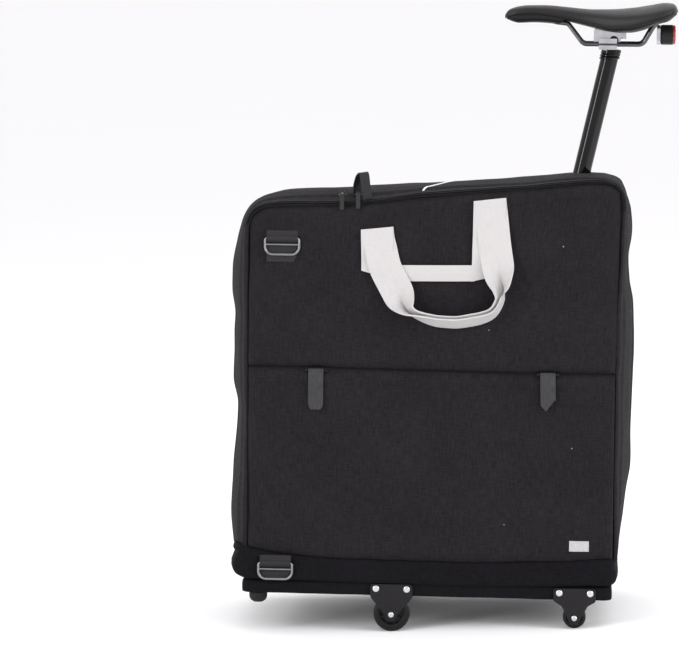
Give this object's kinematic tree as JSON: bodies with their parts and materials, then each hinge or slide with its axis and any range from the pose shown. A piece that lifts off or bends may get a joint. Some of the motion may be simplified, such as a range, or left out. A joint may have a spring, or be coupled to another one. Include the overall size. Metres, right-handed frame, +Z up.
{
  "type": "folding bicycle in a wheeled bag",
  "caption": "Folded bicycle standing in its padded travel bag on castors, with the seat post and saddle out of the top as a pulling handle.",
  "frame": {"origin": "on the floor under the middle of the object's box", "axes": "+Z up, -Y towards the side with the straps and zip pulls, -X towards the saddle's nose"},
  "size_m": [0.7192, 0.3242, 0.9692],
  "materials": {
    "woven_cloth": "woven, matt",
    "webbing_black": "ribbed webbing",
    "webbing_grey": "ribbed webbing",
    "base_cloth": "tight woven, matt",
    "zip_nylon": "satin",
    "reflective": "retroreflective",
    "patch": "printed",
    "zinc": "grey plated",
    "castor_steel": "black coated",
    "bolt_steel": "bright",
    "castor_tyre": "moulded",
    "rubber": "matt",
    "post_black": "gloss anodised",
    "clamp_silver": "satin",
    "rail_steel": "black plated",
    "saddle_skin": "soft grain",
    "saddle_plastic": "moulded",
    "lamp_plastic": "satin",
    "lamp_red": "clear red",
    "frame_paint": "gloss",
    "alloy": "satin",
    "chain_steel": "oiled"
  },
  "bodies": {
    "bag": {"base_board": "base_cloth", "bottom_band": "woven_cloth", "front_lower_panel": "woven_cloth", "back_lower_panel": "woven_cloth", "back_upper_panel": "woven_cloth", "nose_end_gusset": "woven_cloth", "tail_end_gusset": "woven_cloth", "top_gusset": "woven_cloth", "post_collar": "woven_cloth", "zip_garage_loop": "webbing_black", "reflective_piping": "reflective", "back_handle_anchor": "webbing_grey", "strap_keepers": "zip_nylon", "name_patch": "patch", "castor_brackets": "castor_steel", "castor_bolts": "bolt_steel", "rubber_feet": "rubber", "lower_ring_tab": "webbing_black", "rear_frame": "frame_paint", "seat_clamp_band": "alloy", "frame_pins": "bolt_steel", "rear_triangle": "frame_paint", "chain": "chain_steel"},
    "front_flap": {"front_upper_panel": "woven_cloth", "front_handle_anchor": "webbing_grey", "upper_ring_tab": "webbing_black", "zip_chain": "zip_nylon"},
    "front_handle": {"front_handle": "webbing_grey"},
    "back_handle": {"back_handle": "webbing_grey"},
    "upper_ring": {"upper_strap_ring": "zinc"},
    "lower_ring": {"lower_strap_ring": "zinc"},
    "left_strap": {"left_strap_tail": "webbing_black"},
    "right_strap": {"right_strap_tail": "webbing_black"},
    "left_slider": {"left_zip_slider": "zinc"},
    "right_slider": {"right_zip_slider": "zinc"},
    "left_pull": {"left_zip_pull": "zinc"},
    "right_pull": {"right_zip_pull": "zinc"},
    "seat_post": {"seat_post": "post_black"},
    "saddle": {"saddle_clamp": "clamp_silver", "saddle_rails": "rail_steel", "saddle_shell": "saddle_plastic", "saddle_cover": "saddle_skin", "lamp_bracket": "clamp_silver", "lamp_case": "lamp_plastic", "lamp_lens": "lamp_red"},
    "clamp_lever": {"seat_clamp_lever": "alloy"},
    "rear_wheel": {"rear_wheel": "alloy"},
    "sprocket": {"sprocket": "chain_steel"},
    "crank": {"crankset": "alloy", "left_pedal": "rubber"},
    "right_pedal": {"right_pedal": "rubber"},
    "front_frame": {"front_frame": "frame_paint"},
    "steering": {"fork": "frame_paint", "handlepost": "alloy", "handlebar": "alloy"},
    "front_wheel": {"front_wheel": "alloy"},
    "front_centre_castor": {"front_centre_castor": "castor_tyre"},
    "front_end_castor": {"front_end_castor": "castor_tyre"},
    "back_centre_castor": {"back_centre_castor": "castor_tyre"},
    "back_end_castor": {"back_end_castor": "castor_tyre"}
  },
  "joints": [
    {"name": "front_centre_roll", "type": "hinge", "parent": "bag", "child": "front_centre_castor", "pos_m": [-0.10857, -0.13695, 0.0285], "axis": [0, 1, 0], "continuous": true},
    {"name": "front_end_roll", "type": "hinge", "parent": "bag", "child": "front_end_castor", "pos_m": [0.17724, -0.13795, 0.018], "axis": [0, 1, 0], "continuous": true},
    {"name": "back_centre_roll", "type": "hinge", "parent": "bag", "child": "back_centre_castor", "pos_m": [-0.10857, 0.13865, 0.0285], "axis": [0, 1, 0], "continuous": true},
    {"name": "back_end_roll", "type": "hinge", "parent": "bag", "child": "back_end_castor", "pos_m": [0.17724, 0.13965, 0.018], "axis": [0, 1, 0], "continuous": true},
    {"name": "front_flap_open", "type": "hinge", "parent": "bag", "child": "front_flap", "pos_m": [-0.03826, -0.14915, 0.41589], "axis": [0.9991, 0, -0.042], "range_deg": [0, 95]},
    {"name": "front_handle_lift", "type": "hinge", "parent": "front_flap", "child": "front_handle", "pos_m": [-0.01618, -0.15275, 0.65568], "axis": [-0.9748, 0, -0.2229], "range_deg": [0, 105]},
    {"name": "back_handle_lift", "type": "hinge", "parent": "bag", "child": "back_handle", "pos_m": [-0.01618, 0.15445, 0.65568], "axis": [0.9748, 0, 0.2229], "range_deg": [0, 105]},
    {"name": "upper_ring_lift", "type": "hinge", "parent": "front_flap", "child": "upper_ring", "pos_m": [-0.25871, -0.15345, 0.62432], "axis": [-0.9991, 0, 0.042], "range_deg": [0, 150]},
    {"name": "lower_ring_lift", "type": "hinge", "parent": "bag", "child": "lower_ring", "pos_m": [-0.2871, -0.15845, 0.11507], "axis": [-0.9991, 0, 0.042], "range_deg": [0, 150]},
    {"name": "left_strap_lift", "type": "hinge", "parent": "bag", "child": "left_strap", "pos_m": [-0.21335, -0.15225, 0.41724], "axis": [-0.9991, 0, 0.042], "range_deg": [0, 40]},
    {"name": "right_strap_lift", "type": "hinge", "parent": "bag", "child": "right_strap", "pos_m": [0.14633, -0.15225, 0.40214], "axis": [-0.9991, 0, 0.042], "range_deg": [0, 40]},
    {"name": "left_slider_run", "type": "slide", "parent": "front_flap", "child": "left_slider", "axis": [0.9994, 0, 0.0336], "range_m": [-0.1, 0]},
    {"name": "right_slider_run", "type": "slide", "parent": "front_flap", "child": "right_slider", "axis": [0.9994, 0, 0.0336], "range_m": [0, 0.16]},
    {"name": "left_pull_lift", "type": "hinge", "parent": "left_slider", "child": "left_pull", "pos_m": [-0.16375, -0.14015, 0.69047], "axis": [-0.9991, 0, 0.042], "range_deg": [0, 100]},
    {"name": "right_pull_lift", "type": "hinge", "parent": "right_slider", "child": "right_pull", "pos_m": [-0.13869, -0.14015, 0.69131], "axis": [-0.9991, 0, 0.042], "range_deg": [0, 100]},
    {"name": "seat_post_slide", "type": "slide", "parent": "bag", "child": "seat_post", "axis": [0.2572, 0, 0.9664], "range_m": [-0.12, 0.06]},
    {"name": "saddle_tilt", "type": "hinge", "parent": "seat_post", "child": "saddle", "pos_m": [0.25973, -0.03415, 0.90982], "axis": [0, 1, 0], "range_deg": [-8, 8]},
    {"name": "clamp_lever_open", "type": "hinge", "parent": "bag", "child": "clamp_lever", "pos_m": [0.21377, -0.03415, 0.6195], "axis": [0, -1, 0], "range_deg": [0, 150]},
    {"name": "rear_wheel_spin", "type": "hinge", "parent": "bag", "child": "rear_wheel", "pos_m": [-0.1359, -0.03415, 0.28347], "axis": [0, 1, 0], "continuous": true},
    {"name": "crank_turn", "type": "hinge", "parent": "bag", "child": "crank", "pos_m": [0.1041, -0.03415, 0.46897], "axis": [0, 1, 0], "range_deg": [-5, 5]},
    {"name": "sprocket_turn", "type": "hinge", "parent": "bag", "child": "sprocket", "pos_m": [-0.1359, 0.01285, 0.28347], "axis": [0, 1, 0], "range_deg": [-15, 15]},
    {"name": "right_pedal_spin", "type": "hinge", "parent": "crank", "child": "right_pedal", "pos_m": [0.20015, 0.02385, 0.60923], "axis": [0, 1, 0], "continuous": true},
    {"name": "frame_fold", "type": "hinge", "parent": "bag", "child": "front_frame", "pos_m": [-0.20469, -0.01015, 0.55199], "axis": [0.042, 0, 0.9991], "range_deg": [0, 0.8]},
    {"name": "steering_turn", "type": "hinge", "parent": "front_frame", "child": "steering", "pos_m": [-0.00634, 0.06385, 0.50863], "axis": [-0.1753, 0, 0.9845], "range_deg": [-0.8, 0.8]},
    {"name": "front_wheel_spin", "type": "hinge", "parent": "steering", "child": "front_wheel", "pos_m": [0.04594, 0.06385, 0.27583], "axis": [0, 1, 0], "continuous": true}
  ],
  "couplings": [
    {"joint": "sprocket_turn", "follows": "crank_turn", "ratio": 2.8966}
  ]
}
